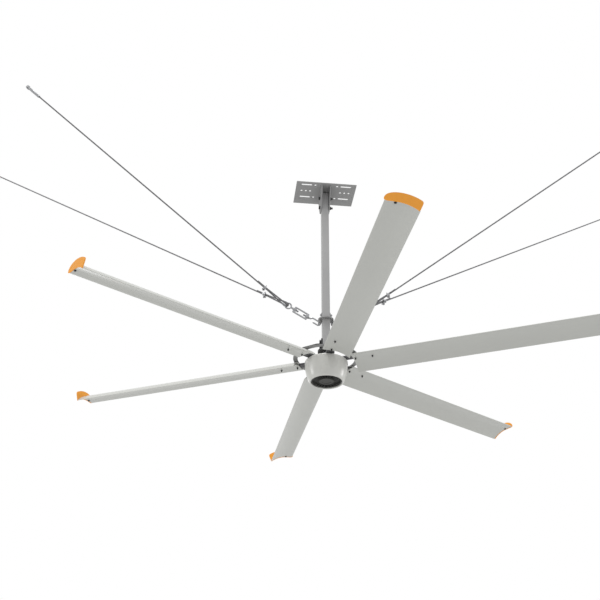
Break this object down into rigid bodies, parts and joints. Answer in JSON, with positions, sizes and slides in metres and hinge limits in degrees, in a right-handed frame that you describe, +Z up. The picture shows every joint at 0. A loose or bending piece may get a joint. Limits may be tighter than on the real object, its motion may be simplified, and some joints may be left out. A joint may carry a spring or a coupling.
{
  "type": "ceiling fan",
  "caption": "Large slow-turning ceiling fan on a square drop rod, with an outer-rotor hub motor, hollow cambered blades with winglets, and guy wires tensioned by turnbuckles",
  "frame": {"origin": "centre of the ceiling plate's top face, which rests against the roof beam", "axes": "+Z up, along the drop rod and the fan's axis; +X along the plate's long side and the turnbuckles' plane; +Y towards the rear guy wires"},
  "size_m": [6.188, 4.2018, 2.4946],
  "materials": {
    "plate_paint": "grey painted steel, satin",
    "rod_paint": "light grey painted steel, satin",
    "black_paint": "black coated steel, satin",
    "hub_paint": "warm light grey painted casting, satin",
    "blade_alloy": "anodised extruded aluminium, matt light grey",
    "dark_steel": "dark grey coated steel, satin",
    "link_steel": "mid grey coated steel, satin",
    "zinc_steel": "zinc-plated steel",
    "shaft_steel": "ground steel",
    "winglet_orange": "orange moulded plastic, semi-gloss",
    "cap_black": "black cast cover, matt",
    "cable_rubber": "dark grey rubber cable sheath, matt",
    "wire_steel": "stranded galvanised steel wire rope",
    "magnet_ferrite": "dark sintered magnet",
    "lamination_steel": "varnished electrical steel",
    "coil_copper": "enamelled copper winding"
  },
  "bodies": {
    "hanger": {"ceiling_plate": "plate_paint", "hanger_ears": "plate_paint", "rod_bolts": "black_paint", "drop_rod": "rod_paint", "guy_collar": "link_steel", "collar_bolt": "zinc_steel", "collar_hooks": "zinc_steel", "lock_nuts": "zinc_steel", "motor_yoke": "black_paint", "motor_shaft": "shaft_steel", "stator_core": "lamination_steel", "stator_windings": "coil_copper", "bearing_inner_rings": "shaft_steel", "shaft_nut": "zinc_steel", "cable_grommet": "cable_rubber", "power_cable": "cable_rubber", "cable_connector": "cable_rubber"},
    "rotor": {"hub_shell": "hub_paint", "top_cover": "hub_paint", "bottom_cover": "cap_black", "back_iron": "dark_steel", "magnets": "magnet_ferrite", "bearing_outer_rings": "shaft_steel", "shaft_seal": "cable_rubber", "blade_struts": "dark_steel", "blade_links": "link_steel", "blade_1": "blade_alloy", "blade_2": "blade_alloy", "blade_3": "blade_alloy", "blade_4": "blade_alloy", "blade_5": "blade_alloy", "blade_6": "blade_alloy", "winglet_1": "winglet_orange", "winglet_2": "winglet_orange", "winglet_3": "winglet_orange", "winglet_4": "winglet_orange", "winglet_5": "winglet_orange", "winglet_6": "winglet_orange", "strut_bolts": "black_paint", "blade_bolts": "black_paint", "tip_screws": "black_paint", "cover_screws": "zinc_steel"},
    "ball_sets": {"bearing_balls": "shaft_steel", "bearing_cages": "shaft_steel"},
    "left_turnbuckle": {"left_buckle_frame": "zinc_steel"},
    "right_turnbuckle": {"right_buckle_frame": "zinc_steel"},
    "left_guys": {"left_eye_screw": "zinc_steel", "left_thimbles": "zinc_steel", "left_wire_clips": "zinc_steel", "front_left_wire": "wire_steel", "rear_left_wire": "wire_steel", "front_left_terminal": "zinc_steel", "rear_left_terminal": "zinc_steel"},
    "right_guys": {"right_eye_screw": "zinc_steel", "right_thimbles": "zinc_steel", "right_wire_clips": "zinc_steel", "front_right_wire": "wire_steel", "rear_right_wire": "wire_steel", "front_right_terminal": "zinc_steel", "rear_right_terminal": "zinc_steel"}
  },
  "joints": [
    {"name": "rotor_spin", "type": "hinge", "parent": "hanger", "child": "rotor", "pos_m": [0, 0, -1.603], "axis": [0, 0, -1], "continuous": true},
    {"name": "ball_spin", "type": "hinge", "parent": "hanger", "child": "ball_sets", "pos_m": [0, 0, -1.603], "axis": [0, 0, -1], "continuous": true},
    {"name": "left_turnbuckle_turn", "type": "hinge", "parent": "hanger", "child": "left_turnbuckle", "pos_m": [-0.06, 0, -1.2466], "axis": [-0.8572, 0, 0.515], "range_deg": [-720, 720]},
    {"name": "left_guys_draw", "type": "slide", "parent": "hanger", "child": "left_guys", "axis": [-0.8572, 0, 0.515], "range_m": [-0.008, 0.008]},
    {"name": "right_turnbuckle_turn", "type": "hinge", "parent": "hanger", "child": "right_turnbuckle", "pos_m": [0.06, 0, -1.2466], "axis": [0.8572, 0, 0.515], "range_deg": [-720, 720]},
    {"name": "right_guys_draw", "type": "slide", "parent": "hanger", "child": "right_guys", "axis": [0.8572, 0, 0.515], "range_m": [-0.008, 0.008]}
  ],
  "couplings": [
    {"joint": "ball_spin", "follows": "rotor_spin", "ratio": 0.587},
    {"joint": "left_turnbuckle_turn", "follows": "left_guys_draw", "rad_per_m": 1570.8},
    {"joint": "right_turnbuckle_turn", "follows": "right_guys_draw", "rad_per_m": 1570.8}
  ]
}
